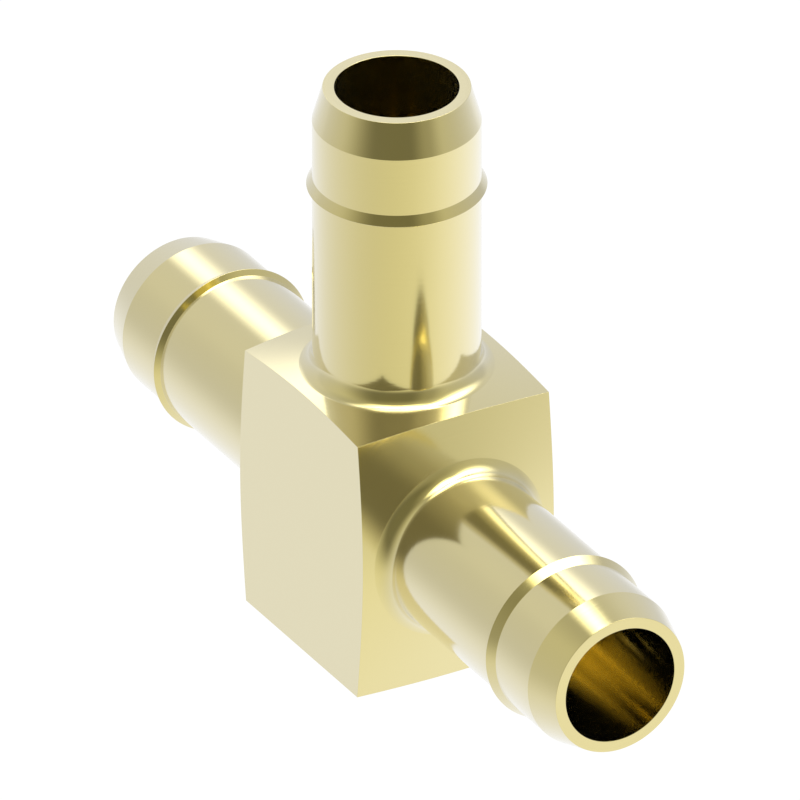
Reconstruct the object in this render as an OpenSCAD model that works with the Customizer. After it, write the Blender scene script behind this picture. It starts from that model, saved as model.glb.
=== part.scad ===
// Hose barb tee: one solid brass piece with two hose ends in line and a third at right angles.
// The run lies along X and the branch points up, along +Z. The origin is the centre of the flat bottom.
// Lengths are in millimetres.

/* [Bores] */
// Through bore of the run, diameter
run_bore_d = 10.7; // [8:0.1:11.8]
// Bore of the branch, diameter, down to the run's axis
branch_bore_d = 10.7; // [8:0.1:11.8]

/* [Hose ends] */
// Branch axis to the tip face of each run end
run_tip = 37.75; // [32:0.05:48]
// Run axis to the tip face of the branch
branch_tip = 39.95; // [34:0.05:50]
// Shank, and the land in front of the bead, diameter
shank_d = 14.5; // [13.4:0.1:15.2]
// Outer edge of the tip face, diameter
tip_d = 12.7; // [12:0.1:13.2]
// Length of the lead-in cone at the tip
tip_cone_l = 3.15; // [1.5:0.05:5]
// Length of the straight land between the cone and the bead
land_l = 5.4; // [3:0.1:8]
// Crest of the bead, diameter
crest_d = 15.5; // [15.3:0.1:17]
// Length of the bead's ramp, which faces the tip
bead_ramp_l = 0.85; // [0.5:0.05:2]
// Length of the bead's steep back, which holds the hose
bead_back_l = 0.3; // [0.05:0.05:1]
// Concave radius where a shank meets its shoulder
root_r = 1.2; // [0.4:0.1:1.6]

/* [Body] */
// Thickness between the two flat sides
body_t = 18.9; // [18.5:0.1:24]
// Run axis to the flat bottom
body_drop = 12.75; // [10:0.05:18]
// Branch axis to the inner edge of each run shoulder
run_shoulder = 10.65; // [9.5:0.05:15]
// Run axis to the inner edge of the branch shoulder
branch_shoulder = 12.75; // [10:0.05:18]
// Angle by which each turned shoulder falls away from its shank, degrees
shoulder_deg = 8.6; // [2:0.1:14]

/* [Hidden] */
shank_r = shank_d / 2;
ring_r = shank_r + root_r;
fall = tan(shoulder_deg);
// Distances of the bead's edges from the tip face
ramp_start = tip_cone_l + land_l;
crest_at = ramp_start + bead_ramp_l;
bead_foot = crest_at + bead_back_l;
// Radius that clears the corners of the body when it turns about either axis
clear = 1;
swing_r = norm([body_t / 2, max(body_drop, branch_shoulder, run_shoulder)]) + clear;
shoulder_drop = (swing_r - ring_r) * fall;
brass = [0.83, 0.76, 0.50];
$fn = 144;

// Half section of one hose end: radius across, distance from the crossing up
module hose_end_section(tip, shoulder) {
    polygon([
        [0, shoulder - root_r],
        [shank_r, shoulder - root_r],
        [shank_r, tip - bead_foot],
        [crest_d / 2, tip - crest_at],
        [shank_r, tip - ramp_start],
        [shank_r, tip - tip_cone_l],
        [tip_d / 2, tip],
        [0, tip]
    ]);
    difference() {
        translate([0, shoulder - root_r])
            square([ring_r, 2 * root_r]);
        translate([ring_r, shoulder + root_r])
            circle(r = root_r);
    }
}

// Hose end along +Z
module hose_end(tip, shoulder) {
    rotate_extrude()
        hose_end_section(tip, shoulder);
}

// What turning about the run leaves of the body: a shoulder cone at each end
module run_turning() {
    rotate([0, 90, 0])
        rotate_extrude()
            polygon([
                [0, -run_shoulder],
                [ring_r, -run_shoulder],
                [swing_r, shoulder_drop - run_shoulder],
                [swing_r, run_shoulder - shoulder_drop],
                [ring_r, run_shoulder],
                [0, run_shoulder]
            ]);
}

// What turning about the branch leaves of the body: a shoulder cone on top
module branch_turning() {
    rotate_extrude()
        polygon([
            [0, -body_drop],
            [swing_r, -body_drop],
            [swing_r, branch_shoulder - shoulder_drop],
            [ring_r, branch_shoulder],
            [0, branch_shoulder]
        ]);
}

// Slab with the two flat sides, larger than the body in the other directions
module slab() {
    cube([4 * swing_r, body_t, 4 * swing_r], center = true);
}

module body() {
    intersection() {
        slab();
        run_turning();
        branch_turning();
    }
}

module run_bore() {
    rotate([0, 90, 0])
        cylinder(d = run_bore_d, h = 2 * (run_tip + clear), center = true);
}

module branch_bore() {
    cylinder(d = branch_bore_d, h = branch_tip + clear);
}

// Stands on its flat bottom, so the crossing of the axes is lifted by the depth of the body
module tee_body() {
    color(brass)
        translate([0, 0, body_drop])
            difference() {
                union() {
                    body();
                    hose_end(branch_tip, branch_shoulder);
                    for (side = [-1, 1])
                        rotate([0, 90 * side, 0])
                            hose_end(run_tip, run_shoulder);
                }
                run_bore();
                branch_bore();
            }
}

tee_body();
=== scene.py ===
# %% [markdown]
# # A brass hose barb tee, dressed for its picture
# The real part is one piece of brass. A square-sided block is turned on a lathe
# three times: two hose ends lie in one line and the third stands at right angles
# to them. The CAD solid has the right sizes. This lesson builds the same form as
# a clean mesh, gives it a metal finish, and sets up the floor, the light and the
# camera.

# %% Load the frame
import math

import bmesh
import bpy
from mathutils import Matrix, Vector


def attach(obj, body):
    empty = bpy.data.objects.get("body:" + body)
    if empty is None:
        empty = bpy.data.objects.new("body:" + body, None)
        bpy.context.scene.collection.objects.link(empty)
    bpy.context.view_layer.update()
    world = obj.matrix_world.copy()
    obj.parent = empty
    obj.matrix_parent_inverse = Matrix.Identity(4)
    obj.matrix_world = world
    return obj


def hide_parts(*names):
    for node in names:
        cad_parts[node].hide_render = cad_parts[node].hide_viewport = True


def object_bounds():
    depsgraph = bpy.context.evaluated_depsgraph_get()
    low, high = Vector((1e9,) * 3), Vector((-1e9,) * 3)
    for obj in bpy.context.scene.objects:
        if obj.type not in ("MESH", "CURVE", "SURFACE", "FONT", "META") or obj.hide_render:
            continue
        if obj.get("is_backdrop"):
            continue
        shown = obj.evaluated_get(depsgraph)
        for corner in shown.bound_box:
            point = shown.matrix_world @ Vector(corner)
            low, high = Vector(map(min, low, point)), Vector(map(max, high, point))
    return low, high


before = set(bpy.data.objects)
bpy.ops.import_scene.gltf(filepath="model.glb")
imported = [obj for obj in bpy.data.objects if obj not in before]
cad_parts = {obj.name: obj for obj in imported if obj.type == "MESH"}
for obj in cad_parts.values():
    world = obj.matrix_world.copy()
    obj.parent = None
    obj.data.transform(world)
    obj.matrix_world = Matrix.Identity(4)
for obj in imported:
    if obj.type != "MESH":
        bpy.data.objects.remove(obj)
cad_box = [[float(c) for c in corner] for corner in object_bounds()]
print("CAD box, mm:", [[round(c * 1000, 2) for c in corner] for corner in cad_box])

# %% [markdown]
# ## The sizes
# Every length is in metres, as Blender has it here. The sizes of the part are those
# of the CAD source, so the two shapes agree. Only the root differs a little: it is
# a larger round on a slope, which gives the double highlight of the photograph.
# The origin is the centre of the flat bottom, and the two bores cross above it.

# %% Sizes of the tee
MM = 0.001
BORE_R = 5.35 * MM
TIP_R = 6.35 * MM
SHANK_R = 7.25 * MM
CREST_R = 7.75 * MM
ROOT_R, ROOT_SLOPE = 1.6 * MM, math.radians(17.8)
CONE_R = 8.45 * MM  # where the height of a shoulder is measured
RING_R = 8.40 * MM  # where a hose end is welded to its shoulder
RUN_TIP, BRANCH_TIP = 37.75 * MM, 39.95 * MM
RUN_SHOULDER, BRANCH_SHOULDER = 10.65 * MM, 12.75 * MM
TIP_CONE_L, LAND_L, BEAD_RAMP_L, BEAD_BACK_L = 3.15 * MM, 5.4 * MM, 0.85 * MM, 0.3 * MM
HALF_T = 18.9 / 2 * MM
DROP = 12.75 * MM
FALL = math.tan(math.radians(8.6))
MOUTH = 1.0 * MM  # how far a hose end's mesh reaches down its bore
SEGMENTS = 144
NEAR = 1e-9  # lengths this close count as equal, and nothing is divided by less
crossing = Vector((0, 0, DROP))
print("tip to tip, mm:", round(2 * RUN_TIP / MM, 2))

# %% [markdown]
# ## Shoulders that fall away
# Each shoulder is a very flat cone round its own hose end. The cones stop at the
# flat sides, at the flat bottom, and where they meet each other. That last line
# has no neat formula, so it is found by halving a step until the point lies on
# both cones. At a corner on a flat side, two formulas are used in turn until they
# agree.

# %% Points on the shoulders
ROUNDS = 60


def shoulder_at(shoulder, rho):
    return shoulder - FALL * (rho - CONE_R)


def reach(angle, own, other):
    """Distance from the axis, along one angle, to where two shoulders meet."""
    low, high = RING_R * 0.5, RING_R * 4
    for _ in range(ROUNDS):
        rho = (low + high) / 2
        across, along = rho * math.cos(angle), rho * math.sin(angle)
        inside = along < shoulder_at(other, math.hypot(across, shoulder_at(own, rho)))
        low, high = (rho, high) if inside else (low, rho)
    return low


def side_corner():
    """Where the two shoulders meet on a flat side: distance along the run, and up."""
    along = up = HALF_T
    for _ in range(ROUNDS):
        along = shoulder_at(RUN_SHOULDER, math.hypot(HALF_T, up))
        up = shoulder_at(BRANCH_SHOULDER, math.hypot(HALF_T, along))
    return along, up


corner_x, corner_z = side_corner()
print("top corner of a flat side, mm:", round(corner_x / MM, 3), round(corner_z / MM, 3))

# %% [markdown]
# ## The line where two shoulders meet
# Both patches share this line, so both must have the same points on it. The
# points are those of the run's own angles and those of the branch's own angles
# together, in one list sorted across the block. Points that fall too near each
# other, or too near a flat side, are left out.

# %% Points of the meeting line
SIDE_LIMIT = HALF_T * 0.9999
LEAST_GAP = 0.004 * MM


def step_angles():
    return [2 * math.pi * k / SEGMENTS for k in range(SEGMENTS)]


def meeting_line():
    found = [(corner_x, -HALF_T, corner_z), (corner_x, HALF_T, corner_z)]
    for a in step_angles():
        if 0 < a < math.pi:
            rho = reach(a, RUN_SHOULDER, BRANCH_SHOULDER)
            y, z = rho * math.cos(a), rho * math.sin(a)
            if abs(y) < SIDE_LIMIT:
                found.append((shoulder_at(RUN_SHOULDER, rho), y, z))
            rho = reach(a, BRANCH_SHOULDER, RUN_SHOULDER)
            y, x = rho * math.cos(a), rho * math.sin(a)
            if abs(y) < SIDE_LIMIT:
                found.append((x, y, shoulder_at(BRANCH_SHOULDER, rho)))
    line = []
    for p in sorted(found, key=lambda q: q[1]):
        if not line or p[1] - line[-1][1] > LEAST_GAP:
            line.append(p)
    return line


ridge = meeting_line()
print("points on each meeting line:", len(ridge))

# %% [markdown]
# ## One shoulder as a patch
# The patch runs from a round ring, where a hose end will be welded on, out to
# the rim. Straight rulings join the two. Each face has one step of the ring on
# its inside and every rim point of that step on its outside.

# %% Build a shoulder patch
RUN_FINISH, BRANCH_FINISH, SIDE_FINISH, BOTTOM_FINISH = 0, 1, 2, 3
BORE_FINISH, DEEP_FINISH = 4, 5  # the run's bore and the branch's bore
SAME_ANGLE = 1e-7


def patch(bm, finish, vert, ring, rim, code):
    """ring: one point for each angle; rim: a list of (angle, point)."""
    rim = sorted(rim, key=lambda r: r[0])
    step = 2 * math.pi / SEGMENTS
    for k in range(SEGMENTS):
        low, high = k * step, (k + 1) * step
        outer = [p for a, p in rim if low - SAME_ANGLE <= a <= high + SAME_ANGLE]
        if k == SEGMENTS - 1:
            outer.append(rim[0][1])
        loop = [vert(ring[k])] + [vert(p) for p in outer] + [vert(ring[(k + 1) % SEGMENTS])]
        face = bm.faces.new(loop)
        face[finish] = code


def turn(angle):
    return angle % (2 * math.pi)


# %% [markdown]
# ## The rims
# For the run's shoulder the rim follows the meeting line at the top, the flat
# sides, and the flat bottom. For the branch's shoulder it follows the two meeting
# lines and the two sides. Corners are put in exactly, so no edge is cut short.

# %% Rim of each shoulder
def run_rim(sign):
    rim = [(turn(math.atan2(z, y)), (sign * x, y, z)) for x, y, z in ridge]
    for y in (-HALF_T, HALF_T):
        along = sign * shoulder_at(RUN_SHOULDER, math.hypot(y, DROP))
        rim.append((turn(math.atan2(-DROP, y)), (along, y, -DROP)))
    top = math.atan2(corner_z, HALF_T)
    for a in step_angles():
        if top < a < math.pi - top:
            continue
        rho = HALF_T / max(abs(math.cos(a)), NEAR)
        if math.sin(a) < 0:
            rho = min(rho, DROP / max(-math.sin(a), NEAR))
        along = sign * shoulder_at(RUN_SHOULDER, rho)
        rim.append((a, (along, rho * math.cos(a), rho * math.sin(a))))
    return rim


def branch_rim():
    rim = []
    for sign in (1, -1):
        rim += [(turn(math.atan2(y, sign * x)), (sign * x, y, z)) for x, y, z in ridge]
    for a in step_angles():
        rho = HALF_T / max(abs(math.sin(a)), NEAR)
        if rho * abs(math.cos(a)) < corner_x:
            height = shoulder_at(BRANCH_SHOULDER, rho)
            rim.append((a, (rho * math.cos(a), rho * math.sin(a), height)))
    return rim


print("points on the rims:", len(run_rim(1)), "and", len(branch_rim()))

# %% [markdown]
# ## The block
# The shoulders, the two flat sides, the flat bottom and the crossing bores make
# the block. The bores are equal, so they meet on two slanting planes where the
# distance along the run equals the height, and both use the same angles there.

# %% Build the block
POINTS_PER_METRE = 1e7  # two points in the same cell of this grid are one vertex
WELD = 1e-6


def build_block():
    bm = bmesh.new()
    finish = bm.faces.layers.int.new("finish")
    known = {}

    def vert(p):
        key = tuple(round(c * POINTS_PER_METRE) for c in p)
        if key not in known:
            known[key] = bm.verts.new((p[0], p[1], p[2] + DROP))
        return known[key]

    angles = step_angles()
    for sign in (1, -1):
        along = sign * shoulder_at(RUN_SHOULDER, RING_R)
        ring = [(along, RING_R * math.cos(a), RING_R * math.sin(a)) for a in angles]
        patch(bm, finish, vert, ring, run_rim(sign), RUN_FINISH)
    height = shoulder_at(BRANCH_SHOULDER, RING_R)
    ring = [(RING_R * math.cos(a), RING_R * math.sin(a), height) for a in angles]
    patch(bm, finish, vert, ring, branch_rim(), BRANCH_FINISH)
    points = [p for _, p in run_rim(1) + run_rim(-1) + branch_rim()]
    for y in (-HALF_T, HALF_T):
        rim = {vert(p): p for p in points if abs(p[1] - y) < NEAR}
        loop = sorted(rim, key=lambda v: math.atan2(rim[v][2], rim[v][0]))
        bm.faces.new(loop)[finish] = SIDE_FINISH
    rim = {vert(p): p for p in points if abs(p[2] + DROP) < NEAR}
    loop = sorted(rim, key=lambda v: math.atan2(rim[v][1], rim[v][0]))
    bm.faces.new(loop)[finish] = BOTTOM_FINISH
    bores(bm, finish, vert)
    return bm, finish


def plain(value):
    """Take away the rounding error of a zero, so that mirrored points agree."""
    return 0.0 if abs(value) < NEAR else value


def bores(bm, finish, vert):
    angles = step_angles()
    run_end, branch_end = RUN_TIP - MOUTH, BRANCH_TIP - MOUTH
    for k in range(SEGMENTS):
        pair = (angles[k], angles[(k + 1) % SEGMENTS])
        ys = [plain(BORE_R * math.cos(a)) for a in pair]
        zs = [plain(BORE_R * math.sin(a)) for a in pair]
        start = [max(z, 0.0) for z in zs]
        for sign in (1, -1):
            loop = [vert((sign * start[0], ys[0], zs[0])), vert((sign * run_end, ys[0], zs[0])),
                    vert((sign * run_end, ys[1], zs[1])), vert((sign * start[1], ys[1], zs[1]))]
            bm.faces.new(loop)[finish] = BORE_FINISH
        loop = [vert((ys[0], zs[0], abs(ys[0]))), vert((ys[0], zs[0], branch_end)),
                vert((ys[1], zs[1], branch_end)), vert((ys[1], zs[1], abs(ys[1])))]
        bm.faces.new(loop)[finish] = DEEP_FINISH


block, block_finish = build_block()
bmesh.ops.remove_doubles(block, verts=block.verts, dist=WELD)
bmesh.ops.recalc_face_normals(block, faces=block.faces)
print("block faces:", len(block.faces),
      "open rims:", sum(e.is_boundary for e in block.edges) / SEGMENTS)

# %% [markdown]
# ## Broken edges
# A sawn or milled edge is never a knife edge: it is broken a little, and the
# narrow bevel catches the light as a fine line. Only the edges between two kinds
# of surface are bevelled. The line where the bores meet inside stays sharp.

# %% Break the edges of the block
EDGE_BREAK = 0.012 * MM
OUTSIDE_BORES = BORE_R * 1.2


def break_edges(bm, finish, width):
    edges = []
    for e in bm.edges:
        if len(e.link_faces) == 2:
            a, b = e.link_faces
            outside = all(math.hypot(v.co.y, v.co.z - DROP) > OUTSIDE_BORES for v in e.verts)
            if a[finish] != b[finish] and outside:
                edges.append(e)
    bmesh.ops.bevel(bm, geom=edges, offset=width, segments=2, profile=0.5, affect="EDGES")
    return len(edges)


print("edges broken:", break_edges(block, block_finish, EDGE_BREAK))
block_mesh = bpy.data.meshes.new("tee_block")
block.to_mesh(block_mesh)
block.free()

# %% [markdown]
# ## Small tools for node trees
# The shape, the metal and the room are all made of node trees. These helpers add
# a named input, a sum, or a choice by a point's place in a list, so the cells
# below read like the rule they build.

# %% Helpers for node trees
def add_input(tree, name, kind, value=None):
    socket = tree.interface.new_socket(name, in_out="INPUT", socket_type=kind)
    if value is not None:
        socket.default_value = value


def feed(tree, socket, value):
    """Give a socket a plain value, or link another node's output to it."""
    if isinstance(value, (int, float, tuple)):
        socket.default_value = value
    else:
        tree.links.new(value, socket)


def math_node(tree, operation, a, b=0.0):
    node = tree.nodes.new("ShaderNodeMath")
    node.operation = operation
    feed(tree, node.inputs[0], a)
    feed(tree, node.inputs[1], b)
    return node.outputs[0]


def choose(tree, kind, values):
    """Pick a value by the point's place in the profile."""
    node = tree.nodes.new("GeometryNodeIndexSwitch")
    node.data_type = kind
    while len(node.index_switch_items) < len(values):
        node.index_switch_items.new()
    place = tree.nodes.new("GeometryNodeInputIndex")
    tree.links.new(place.outputs[0], node.inputs["Index"])
    for socket, value in zip(node.inputs[1:], values):
        feed(tree, socket, value)
    return node.outputs[0]


# %% [markdown]
# ## Tool marks
# A lathe leaves rings round the part's own axis, and a mill leaves straight
# lines. Each kind of surface has its own number, stored on its faces, and the
# number picks which distance the marks follow. They are less than two thousandths
# of a millimetre deep, so the polish still looks clean from a step away.

# %% Where the marks run
def new_material(name):
    mat = bpy.data.materials.new(name)
    mat.use_nodes = True
    return mat, mat.node_tree


def is_code(tree, code):
    """One on the faces that carry this number, zero elsewhere."""
    node = tree.nodes.new("ShaderNodeMath")
    node.operation = "COMPARE"
    mark = tree.nodes.new("ShaderNodeAttribute")
    mark.attribute_name = "finish"
    for socket, value in zip(node.inputs, (mark.outputs["Fac"], code, 0.25)):
        feed(tree, socket, value)
    return node.outputs[0]


def out_from(tree, a, b):
    """Distance from an axis, from the two distances across it."""
    squares = [math_node(tree, "MULTIPLY", c, c) for c in (a, b)]
    return math_node(tree, "POWER", math_node(tree, "ADD", *squares), 0.5)


def mark_place(tree):
    """Distance along which the tool marks repeat, in metres."""
    place = tree.nodes.new("ShaderNodeTexCoord")
    split = tree.nodes.new("ShaderNodeSeparateXYZ")
    tree.links.new(place.outputs["Object"], split.inputs[0])
    x, y, floor_height = split.outputs
    z = math_node(tree, "SUBTRACT", floor_height, DROP)
    turned_run = math_node(tree, "ADD", math_node(tree, "ABSOLUTE", x), out_from(tree, y, z))
    turned_branch = math_node(tree, "ADD", z, out_from(tree, x, y))
    ways = {RUN_FINISH: turned_run, BRANCH_FINISH: turned_branch, SIDE_FINISH: z,
            BOTTOM_FINISH: y, BORE_FINISH: turned_run, DEEP_FINISH: turned_branch}
    total = 0.0
    for code, way in ways.items():
        part = math_node(tree, "MULTIPLY", is_code(tree, code), way)
        total = math_node(tree, "ADD", total, part)
    return total


# %% [markdown]
# ## Brass
# Free-cutting brass, turned bright. The metal is a shader with metallic at one,
# so its colour tints what it reflects: deep yellow where it is met squarely, and
# nearly white at a glancing angle, as the gloss of polished metal does. A slow
# cloud over the surface keeps colour and polish from being perfectly even.

# %% Brass material
SQUARE_ON = (0.850, 0.716, 0.216, 1), (0.870, 0.736, 0.230, 1)  # the cloud's two ends
AT_A_GLANCE = (0.934, 0.919, 0.845, 1)
LEAST_ROUGH, CLOUD_ROUGH, MARK_ROUGH = 0.10, 0.02, 0.02
CLOUDS_PER_METRE, MARKS_PER_METRE = 160.0, 3800.0
MARK_DEPTH = 0.0015 * MM
brass, metal = new_material("turned_brass")
nodes, links = metal.nodes, metal.links
bsdf = nodes["Principled BSDF"]
bsdf.inputs["Metallic"].default_value = 1.0


def speckle(dimensions, scale, detail):
    node = nodes.new("ShaderNodeTexNoise")
    node.noise_dimensions = dimensions
    node.inputs["Scale"].default_value = scale
    node.inputs["Detail"].default_value = detail
    return node


def tint_mix(factor, a, b):
    node = nodes.new("ShaderNodeMix")
    node.data_type = "RGBA"
    for socket, value in zip((node.inputs[0], node.inputs[6], node.inputs[7]), (factor, a, b)):
        feed(metal, socket, value)
    return node.outputs[2]


cloud = speckle("3D", CLOUDS_PER_METRE, 3.0)
links.new(nodes.new("ShaderNodeTexCoord").outputs["Object"], cloud.inputs["Vector"])
square_on = tint_mix(cloud.outputs["Fac"], *SQUARE_ON)
glance = nodes.new("ShaderNodeLayerWeight")
glance.inputs["Blend"].default_value = 0.5
glossy = tint_mix(glance.outputs["Facing"], square_on, AT_A_GLANCE)
links.new(glossy, bsdf.inputs["Base Color"])

marks = speckle("1D", MARKS_PER_METRE, 2.0)
links.new(mark_place(metal), marks.inputs["W"])
polish = math_node(metal, "ADD", math_node(metal, "MULTIPLY", cloud.outputs["Fac"], CLOUD_ROUGH),
                   math_node(metal, "MULTIPLY", marks.outputs["Fac"], MARK_ROUGH))
links.new(math_node(metal, "ADD", polish, LEAST_ROUGH), bsdf.inputs["Roughness"])
relief = nodes.new("ShaderNodeBump")
relief.inputs["Strength"].default_value = 1.0
relief.inputs["Distance"].default_value = MARK_DEPTH
links.new(marks.outputs["Fac"], relief.inputs["Height"])
links.new(relief.outputs[0], bsdf.inputs["Normal"])
print("nodes in the brass:", len(nodes))

# %% [markdown]
# ## One hose end as a rule
# Every hose end has the same turned profile: mouth, tip face, tip cone, land,
# raised bead, shank, and a round root that runs out onto the shoulder. A node
# tree draws the profile from named sizes, rounds its corners, and sweeps it round
# a circle. Three copies of the tree make the three ends.
#
# The profile's points follow each other from inside the mouth to the foot of
# the root. X is the distance from the axis and Y is the height, so the points
# can be checked against a drawing of the turned part. The sweep puts a profile's
# Y downwards, so the heights go in with a minus sign.

# %% Tree of one hose end
def hose_end_tree():
    tree = bpy.data.node_groups.new("hose_end", "GeometryNodeTree")
    names = ("Tip", "Shoulder", "Bore radius", "Tip radius", "Shank radius", "Crest radius",
             "Cone length", "Land length", "Ramp length", "Back length", "Root radius",
             "Root rise", "Ring radius", "Mouth depth", "Edge break", "Circle radius")
    for name in names:
        add_input(tree, name, "NodeSocketFloat")
    add_input(tree, "Segments", "NodeSocketInt")
    tree.interface.new_socket("Mesh", in_out="OUTPUT", socket_type="NodeSocketGeometry")
    size = tree.nodes.new("NodeGroupInput").outputs
    cone = math_node(tree, "SUBTRACT", size["Tip"], size["Cone length"])
    ramp = math_node(tree, "SUBTRACT", cone, size["Land length"])
    crest = math_node(tree, "SUBTRACT", ramp, size["Ramp length"])
    foot = math_node(tree, "SUBTRACT", crest, size["Back length"])
    mouth = math_node(tree, "SUBTRACT", size["Tip"], size["Mouth depth"])
    bend = math_node(tree, "ADD", size["Shoulder"], size["Root rise"])
    corners = [(size["Bore radius"], mouth), (size["Bore radius"], size["Tip"]),
               (size["Tip radius"], size["Tip"]), (size["Shank radius"], cone),
               (size["Shank radius"], ramp), (size["Crest radius"], crest),
               (size["Shank radius"], foot), (size["Shank radius"], bend),
               (size["Ring radius"], size["Shoulder"])]
    broken = size["Edge break"]
    soft = math_node(tree, "MULTIPLY", broken, 2.0)
    rounding = [0.0, broken, broken, soft, soft, broken, broken, size["Root radius"], 0.0]
    counts = [1, 3, 3, 3, 3, 4, 3, 12, 1]
    sweep(tree, size, corners, rounding, counts)
    return tree


def sweep(tree, size, corners, rounding, counts):
    nodes, links = tree.nodes, tree.links
    points = []
    for r, z in corners:
        node = nodes.new("ShaderNodeCombineXYZ")
        links.new(math_node(tree, "SUBTRACT", r, size["Circle radius"]), node.inputs["X"])
        links.new(math_node(tree, "MULTIPLY", z, -1.0), node.inputs["Y"])
        points.append(node.outputs[0])
    line = nodes.new("GeometryNodeMeshLine")
    line.inputs["Count"].default_value = len(corners)
    place = nodes.new("GeometryNodeSetPosition")
    links.new(line.outputs[0], place.inputs["Geometry"])
    links.new(choose(tree, "VECTOR", points), place.inputs["Position"])
    curve = nodes.new("GeometryNodeMeshToCurve")
    links.new(place.outputs[0], curve.inputs[0])
    fillet = nodes.new("GeometryNodeFilletCurve")
    fillet.mode = "POLY"
    fillet.inputs["Limit Radius"].default_value = True
    links.new(curve.outputs[0], fillet.inputs["Curve"])
    links.new(choose(tree, "INT", counts), fillet.inputs["Count"])
    links.new(choose(tree, "FLOAT", rounding), fillet.inputs["Radius"])
    circle = nodes.new("GeometryNodeCurvePrimitiveCircle")
    links.new(size["Segments"], circle.inputs["Resolution"])
    links.new(size["Circle radius"], circle.inputs["Radius"])
    skin = nodes.new("GeometryNodeCurveToMesh")
    links.new(circle.outputs[0], skin.inputs["Curve"])
    links.new(fillet.outputs[0], skin.inputs["Profile Curve"])
    links.new(skin.outputs[0], nodes.new("NodeGroupOutput").inputs[0])


hose_end = hose_end_tree()
print("nodes in a hose end:", len(hose_end.nodes))

# %% [markdown]
# ## Three ends on one block
# The main tree turns each hose end to its direction, lifts it to the crossing
# of the bores, marks which lathe axis it belongs to, and welds it to the block.

# %% Tree of the whole tee
def tee_tree(sizes):
    tree = bpy.data.node_groups.new("hose_tee", "GeometryNodeTree")
    add_input(tree, "Block", "NodeSocketGeometry")
    for name, value in sizes.items():
        add_input(tree, name, "NodeSocketInt" if name == "Segments" else "NodeSocketFloat", value)
    add_input(tree, "Brass", "NodeSocketMaterial")
    tree.interface.new_socket("Geometry", in_out="OUTPUT", socket_type="NodeSocketGeometry")
    nodes, links = tree.nodes, tree.links
    size = nodes.new("NodeGroupInput").outputs
    join = nodes.new("GeometryNodeJoinGeometry")
    links.new(size["Block"], join.inputs[0])
    ends = (("Branch tip", "Branch shoulder", 0.0, BRANCH_FINISH),
            ("Run tip", "Run shoulder", math.pi / 2, RUN_FINISH),
            ("Run tip", "Run shoulder", -math.pi / 2, RUN_FINISH))
    for tip, shoulder, lean, code in ends:
        links.new(one_end(tree, size, tip, shoulder, lean, code), join.inputs[0])
    weld = nodes.new("GeometryNodeMergeByDistance")
    weld.inputs["Distance"].default_value = 2 * WELD
    links.new(join.outputs[0], weld.inputs["Geometry"])
    real = nodes.new("GeometryNodeRealizeInstances")
    links.new(weld.outputs[0], real.inputs[0])
    coat = nodes.new("GeometryNodeSetMaterial")
    links.new(real.outputs[0], coat.inputs["Geometry"])
    links.new(size["Brass"], coat.inputs["Material"])
    links.new(coat.outputs[0], nodes.new("NodeGroupOutput").inputs[0])
    return tree


def one_end(tree, size, tip, shoulder, lean, code):
    nodes, links = tree.nodes, tree.links
    end = nodes.new("GeometryNodeGroup")
    end.node_tree = hose_end
    for socket in end.inputs:
        source = {"Tip": tip, "Shoulder": shoulder}.get(socket.name, socket.name)
        links.new(size[source], socket)
    move = nodes.new("GeometryNodeTransform")
    move.inputs["Rotation"].default_value = (0, lean, 0)
    lift = nodes.new("ShaderNodeCombineXYZ")
    links.new(size["Crossing height"], lift.inputs["Z"])
    links.new(lift.outputs[0], move.inputs["Translation"])
    links.new(end.outputs[0], move.inputs["Geometry"])
    mark = nodes.new("GeometryNodeStoreNamedAttribute")
    mark.data_type = "INT"
    mark.domain = "FACE"
    mark.inputs["Name"].default_value = "finish"
    mark.inputs["Value"].default_value = code
    links.new(move.outputs[0], mark.inputs["Geometry"])
    return mark.outputs[0]


# %% [markdown]
# ## Run the tree
# The inputs are set by their identifiers, the tree is run once, and the result
# becomes a plain mesh. The object that carried the tree is then taken away.

# %% Make the tee's mesh
TURNED_BREAK = 0.03 * MM
SWEEP_R = 5.0 * MM  # any radius gives the same sweep, as the profile is shifted by it
tee_sizes = {
    "Run tip": RUN_TIP, "Branch tip": BRANCH_TIP,
    "Run shoulder": shoulder_at(RUN_SHOULDER, RING_R),
    "Branch shoulder": shoulder_at(BRANCH_SHOULDER, RING_R),
    "Bore radius": BORE_R, "Tip radius": TIP_R,
    "Shank radius": SHANK_R, "Crest radius": CREST_R, "Cone length": TIP_CONE_L,
    "Land length": LAND_L, "Ramp length": BEAD_RAMP_L, "Back length": BEAD_BACK_L,
    "Root radius": ROOT_R, "Root rise": (RING_R - SHANK_R) * math.tan(ROOT_SLOPE),
    "Ring radius": RING_R, "Mouth depth": MOUTH, "Edge break": TURNED_BREAK,
    "Circle radius": SWEEP_R, "Crossing height": DROP, "Segments": SEGMENTS,
}
maker = tee_tree(tee_sizes)
print("nodes in the tee:", len(maker.nodes))
tee_shape = bpy.data.objects.new("tee_shape", block_mesh)
bpy.context.scene.collection.objects.link(tee_shape)
modifier = tee_shape.modifiers.new("hose_tee", "NODES")
modifier.node_group = maker
for item in maker.interface.items_tree:
    if item.in_out == "INPUT" and item.name in tee_sizes:
        modifier[item.identifier] = tee_sizes[item.name]
    if item.in_out == "INPUT" and item.name == "Brass":
        modifier[item.identifier] = brass
made = tee_shape.evaluated_get(bpy.context.evaluated_depsgraph_get())
tee_mesh = bpy.data.meshes.new_from_object(made)
tee_shape.modifiers.remove(modifier)
bpy.data.objects.remove(tee_shape)
print("faces made:", len(tee_mesh.polygons))

# %% [markdown]
# ## Check the mesh
# A closed solid has no loose rims, and its faces have to point outwards. The walls
# of the bores run from the block into the mouths of the hose ends, so each wall is
# found by its distance from the axis and gets one number from end to end.

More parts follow.
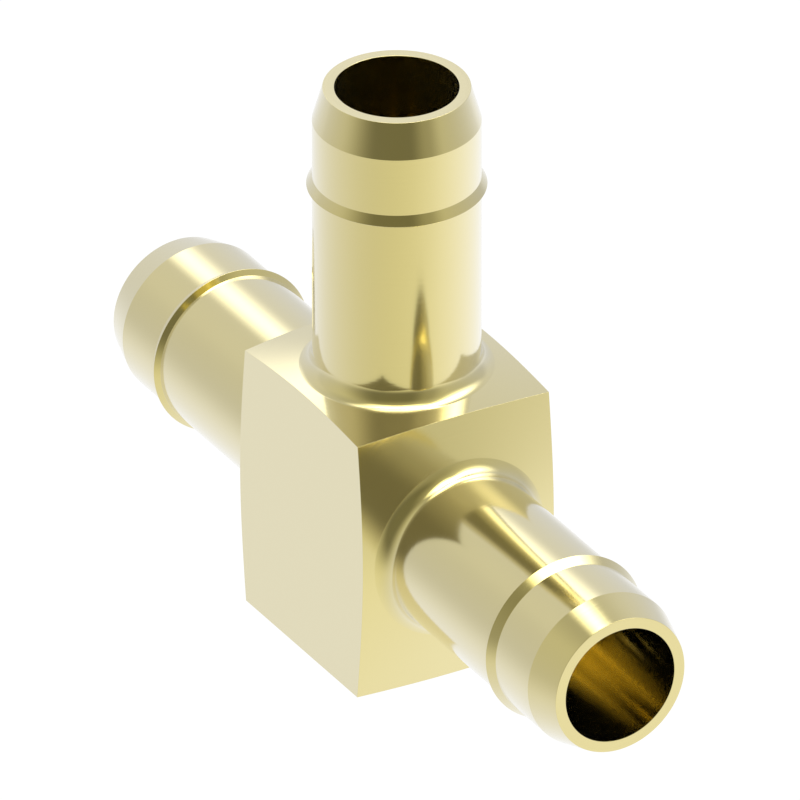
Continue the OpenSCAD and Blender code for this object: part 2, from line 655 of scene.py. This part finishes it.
# %% Turn the faces outwards and number the bores
bm = bmesh.new()
bm.from_mesh(tee_mesh)
bmesh.ops.recalc_face_normals(bm, faces=bm.faces)
finish = bm.faces.layers.int["finish"]
bore_wall = BORE_R * 1.001
for face in bm.faces:
    face.smooth = True
    x, y, z = face.calc_center_median() - crossing
    if math.hypot(y, z) < bore_wall:
        face[finish] = BORE_FINISH
    elif z > 0 and math.hypot(x, y) < bore_wall:
        face[finish] = DEEP_FINISH
print("faces:", len(bm.faces), "loose rims:", sum(e.is_boundary for e in bm.edges),
      "bad edges:", sum(not e.is_manifold for e in bm.edges),
      "volume, mm3:", round(bm.calc_volume(signed=True) / MM ** 3, 1))
bm.to_mesh(tee_mesh)
bm.free()

# %% [markdown]
# ## Even shading
# Large faces next to tiny rounded ones would pick up false shading. Normals
# weighted by face area keep the flats flat and let the narrow roundings turn
# the corner. The two bores meet at a sharp edge, so each bore keeps its own
# normals there. With shared ones its long wall would reflect as if it were bent.

# %% Put the tee in the scene
tee = bpy.data.objects.new("tee", tee_mesh)
bpy.context.scene.collection.objects.link(tee)


def even_shading(mesh):
    codes = [item.value for item in mesh.attributes["finish"].data]
    kinds = [code if code in (BORE_FINISH, DEEP_FINISH) else None for code in codes]
    sums = {}
    for face, kind in zip(mesh.polygons, kinds):
        for v in face.vertices:
            sums[v, kind] = sums.get((v, kind), Vector()) + face.normal * (face.area / MM ** 2)
    corners = [sums[v, kind].normalized()
               for face, kind in zip(mesh.polygons, kinds) for v in face.vertices]
    mesh.normals_split_custom_set(corners)
    flat = [n.normalized().z for (v, kind), n in sums.items()
            if kind is None and abs(mesh.vertices[v].co.z - DROP - BRANCH_TIP) < WELD]
    print("tip face leans at most, degrees:", round(math.degrees(math.acos(min(flat))), 2))


even_shading(tee_mesh)
tee_mesh.name = "tee"
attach(tee, "root")
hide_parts("tee_body")

# %% [markdown]
# ## Floor
# The part stands on a plain white table. It glows just above one, the picture's
# white, so no shadow is seen on it. A brighter table would eat into the part's
# outline, because a pixel on the outline mixes the two. Its own colour is nearly
# black, so the light of the room adds nothing. The table is left out of the
# reflections, because the dome already has a white lower half.

# %% Floor
FLOOR_HALF = 3.0
WHITE_GLOW = 1.02


def build_floor(half):
    mesh = bpy.data.meshes.new("floor")
    square = [(-half, -half, 0), (half, -half, 0), (half, half, 0), (-half, half, 0)]
    mesh.from_pydata(square, [], [(0, 1, 2, 3)])
    obj = bpy.data.objects.new("floor", mesh)
    bpy.context.scene.collection.objects.link(obj)
    return obj


floor = build_floor(FLOOR_HALF)
white, paint = new_material("white_table")
table = paint.nodes["Principled BSDF"]
table.inputs["Base Color"].default_value = (0.01, 0.01, 0.01, 1)
table.inputs["Roughness"].default_value = 0.9
table.inputs["Specular IOR Level"].default_value = 0.0
table.inputs["Emission Color"].default_value = (1, 1, 1, 1)
table.inputs["Emission Strength"].default_value = WHITE_GLOW
floor.data.materials.append(white)
floor.visible_glossy = False
floor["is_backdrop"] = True

# %% [markdown]
# ## The room as a dome
# Polished metal shows little of itself and much of the room. So the room is made
# with care: a dark wall behind the camera, grey walls to the sides, a white lower
# half, and soft boxes above. All of it is painted on the world by direction. The
# azimuth is counted from the camera's side.

# %% Direction in the room
CAMERA_SIDE = math.radians(-30)  # measured from +X, and the camera stands on this side
world = bpy.data.worlds.new("studio")
bpy.context.scene.world = world
world.use_nodes = True
room = world.node_tree
room.nodes.clear()
sight = room.nodes.new("ShaderNodeTexCoord")
turned = room.nodes.new("ShaderNodeVectorRotate")
turned.rotation_type = "Z_AXIS"
turned.inputs["Angle"].default_value = -CAMERA_SIDE
room.links.new(sight.outputs["Generated"], turned.inputs["Vector"])
axes = room.nodes.new("ShaderNodeSeparateXYZ")
room.links.new(turned.outputs[0], axes.inputs[0])
toward, across, height = axes.outputs
azimuth = math_node(room, "ARCTAN2", across, toward)
elevation = math_node(room, "ARCSINE", height)

# %% [markdown]
# ## Walls and ceiling
# One ramp runs round the room and holds the grey of the wall at each azimuth, in
# degrees. The ceiling and the white below each have a plain slope from side to
# side. A smooth step blends the wall into the ceiling, and another into the white.

# %% Walls, ceiling and white lower half
def smooth_step(value, low, high):
    node = room.nodes.new("ShaderNodeMapRange")
    node.interpolation_type = "SMOOTHSTEP"
    node.inputs["From Min"].default_value = low
    node.inputs["From Max"].default_value = high
    room.links.new(value, node.inputs["Value"])
    return node.outputs[0]


def blend(factor, a, b):
    node = room.nodes.new("ShaderNodeMix")
    for socket, value in zip((node.inputs[0], node.inputs[2], node.inputs[3]), (factor, a, b)):
        feed(room, socket, value)
    return node.outputs[0]


def ring_of_greys(stops):
    node = room.nodes.new("ShaderNodeValToRGB")
    node.color_ramp.interpolation = "EASE"
    turn_part = math_node(room, "DIVIDE", azimuth, 2 * math.pi)
    room.links.new(math_node(room, "ADD", turn_part, 0.5), node.inputs[0])
    elements = node.color_ramp.elements
    for element, (angle, grey) in zip(elements, (stops[0], stops[-1])):
        element.position, element.color = angle / 360 + 0.5, (grey, grey, grey, 1)
    for angle, grey in stops[1:-1]:
        elements.new(angle / 360 + 0.5).color = (grey, grey, grey, 1)
    return node.outputs[0]


def plain_slope(middle, forward, sideways):
    slope = math_node(room, "ADD", math_node(room, "MULTIPLY", toward, forward),
                      math_node(room, "MULTIPLY", across, sideways))
    return math_node(room, "ADD", slope, middle)


wall = ring_of_greys([(-180, 0.737), (-120, 0.69), (-108.5, 0.63), (-83, 0.604),
                      (-26, 0.192), (17, 0.189), (41.3, 0.354), (65.7, 0.569), (90, 0.566),
                      (130, 0.56), (144, 0.677), (158, 0.674), (180, 0.737)])
ceiling = plain_slope(0.489, 0.089, 0.282)
upper = blend(smooth_step(elevation, math.radians(33.9), math.radians(83.5)), wall, ceiling)
lower = plain_slope(0.90, -0.104, 0.127)
shell = blend(smooth_step(elevation, math.radians(-1.6), math.radians(-35.7)), upper, lower)

# %% [markdown]
# ## Soft boxes
# Three soft boxes give the bright patches: a bright one overhead, a tall one high
# on the right, and a faint one behind the part. Each has soft edges, so its
# reflection fades out as it does in the photograph. The overhead box lies on a
# ceiling one unit up, and the other two are measured in degrees.

# %% Soft boxes
LEAST_HEIGHT = 0.05  # the division below stays finite down to the horizon


def edge(value, middle, half, fade):
    offset = math_node(room, "ABSOLUTE", math_node(room, "SUBTRACT", value, middle))
    return smooth_step(offset, half + fade, half)


def turned_from(middle):
    """Angle round the room from a box's middle, kept between minus and plus half a turn."""
    node = room.nodes.new("ShaderNodeMath")
    node.operation = "WRAP"
    offset = math_node(room, "SUBTRACT", azimuth, middle)
    for socket, value in zip(node.inputs, (offset, math.pi, -math.pi)):
        feed(room, socket, value)
    return node.outputs[0]


def soft_box(strength, wide, tall):
    """wide and tall: middle, half size and fade, in degrees."""
    middle, half, fade = (math.radians(v) for v in wide)
    sideways = edge(turned_from(middle), 0.0, half, fade)
    middle, half, fade = (math.radians(v) for v in tall)
    mask = math_node(room, "MULTIPLY", sideways, edge(elevation, middle, half, fade))
    return math_node(room, "MULTIPLY", mask, strength)


def overhead_box(strength, along, side):
    """along and side: middle, half size and fade, on a ceiling one unit up."""
    up = math_node(room, "MAXIMUM", height, LEAST_HEIGHT)
    forward = edge(math_node(room, "DIVIDE", toward, up), *along)
    mask = math_node(room, "MULTIPLY", forward, edge(math_node(room, "DIVIDE", across, up), *side))
    above = smooth_step(height, 0.3, 0.5)
    return math_node(room, "MULTIPLY", math_node(room, "MULTIPLY", mask, above), strength)


light = shell
for box in (overhead_box(3.56, along=(-0.016, 0.163, 0.32), side=(0.01, 0.093, 0.386)),
            soft_box(4.08, wide=(103.2, 1, 40.4), tall=(121.3, 60, 40)),
            soft_box(1.134, wide=(-164.1, 1, 20), tall=(39.35, 1, 20))):
    light = math_node(room, "ADD", light, box)
dome = room.nodes.new("ShaderNodeBackground")
room.links.new(light, dome.inputs["Color"])

# %% [markdown]
# ## What the camera sees past the table
# Past the table's edge the camera would see the grey wall. The picture has plain
# white there, so the camera's own rays get a plain white room.

# %% White behind the table
backdrop = room.nodes.new("ShaderNodeBackground")
backdrop.inputs["Color"].default_value = (1, 1, 1, 1)
backdrop.inputs["Strength"].default_value = WHITE_GLOW
path = room.nodes.new("ShaderNodeLightPath")
mix = room.nodes.new("ShaderNodeMixShader")
room.links.new(path.outputs["Is Camera Ray"], mix.inputs[0])
room.links.new(dome.outputs[0], mix.inputs[1])
room.links.new(backdrop.outputs[0], mix.inputs[2])
room.links.new(mix.outputs[0], room.nodes.new("ShaderNodeOutputWorld").inputs["Surface"])
bpy.context.scene.view_settings.view_transform = "Standard"
print("nodes in the room:", len(room.nodes))

# %% [markdown]
# ## Light down the bores
# What shows inside the front bore is the room behind the part, mirrored from wall
# to wall. Each mirroring takes some blue and green away, so the light comes out
# amber. With five of them allowed, the middle of the bore glows and its sides,
# which need more, stay black, as in the photograph.

# %% Mirrorings that are followed
bpy.context.scene.cycles.glossy_bounces = 5
print("mirrorings followed:", bpy.context.scene.cycles.glossy_bounces)

# %% [markdown]
# ## Camera
# The picture was taken from far away, so the rings of the hose ends are nearly
# true ellipses. A very long lens from three metres gives nearly the same view.

# %% Camera
AZIMUTH, ELEVATION = math.radians(59.825), math.radians(29.949)
DISTANCE, HALF_VIEW = 3.2216, 0.0342755
AIM_RIGHT, AIM_UP = 0.275 * MM, 7.919 * MM  # from the crossing of the bores
SENSOR = 36  # in millimetres, as the lens is
right = Vector((math.cos(AZIMUTH), math.sin(AZIMUTH), 0))
away = Vector((math.sin(AZIMUTH), -math.cos(AZIMUTH), 0))
back = away * math.cos(ELEVATION) + Vector((0, 0, math.sin(ELEVATION)))
up = back.cross(right)
aim = crossing + right * AIM_RIGHT + up * AIM_UP
eye = bpy.data.cameras.new("camera")
eye.sensor_width = SENSOR
eye.lens = SENSOR / 2 * DISTANCE / HALF_VIEW
eye.clip_start, eye.clip_end = 0.1, 50
camera = bpy.data.objects.new("camera", eye)
camera.location = aim + back * DISTANCE
camera.rotation_euler = (-back).to_track_quat("-Z", "Y").to_euler()
bpy.context.scene.collection.objects.link(camera)
bpy.context.scene.camera = camera
print("lens, mm:", round(eye.lens, 1))

# %% [markdown]
# ## Sizes before and after
# The dressed tee must be as large as the CAD solid, so both boxes are kept.

# %% Measure the dressed box and finish
dressed_box = [[float(c) for c in corner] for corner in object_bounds()]
print("dressed box, mm:", [[round(c * 1000, 2) for c in corner] for corner in dressed_box])
